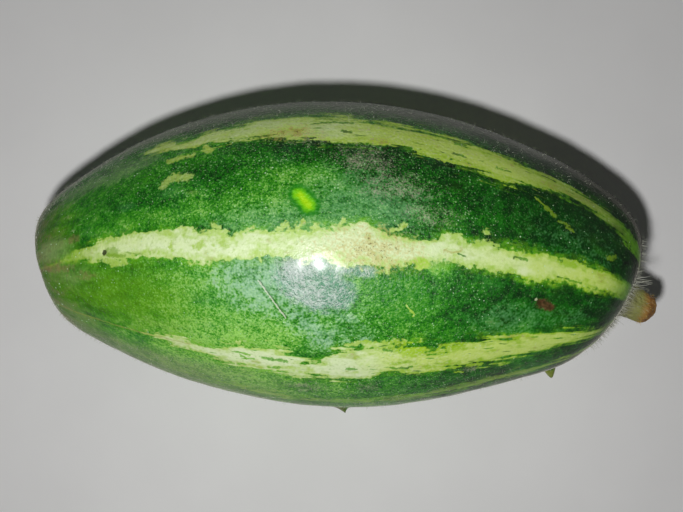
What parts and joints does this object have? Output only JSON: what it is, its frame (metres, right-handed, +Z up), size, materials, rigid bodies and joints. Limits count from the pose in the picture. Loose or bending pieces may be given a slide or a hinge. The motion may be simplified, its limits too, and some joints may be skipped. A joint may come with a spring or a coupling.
{
  "type": "pointed gourd",
  "caption": "Plump spindle-shaped green gourd with pale stripes and blunt ends, lying on its side with a short cut stub of stalk.",
  "frame": {"origin": "middle of the small flat on the belly that the fruit lies on, on the surface it rests on", "axes": "+X along the fruit towards its stalk, +Z up, +Y across; the two ends bow towards -Y"},
  "size_m": [0.0811, 0.04, 0.0398],
  "materials": {
    "gourd_skin": "thin waxy fruit skin, dark mottled green with pale lime stripes, semi-gloss with a dusty bloom",
    "gourd_stalk": "dry, ridged, olive at the fruit and brown at the cut, matt"
  },
  "bodies": {
    "root": {"fruit": "gourd_skin", "stalk": "gourd_stalk"}
  },
  "joints": []
}
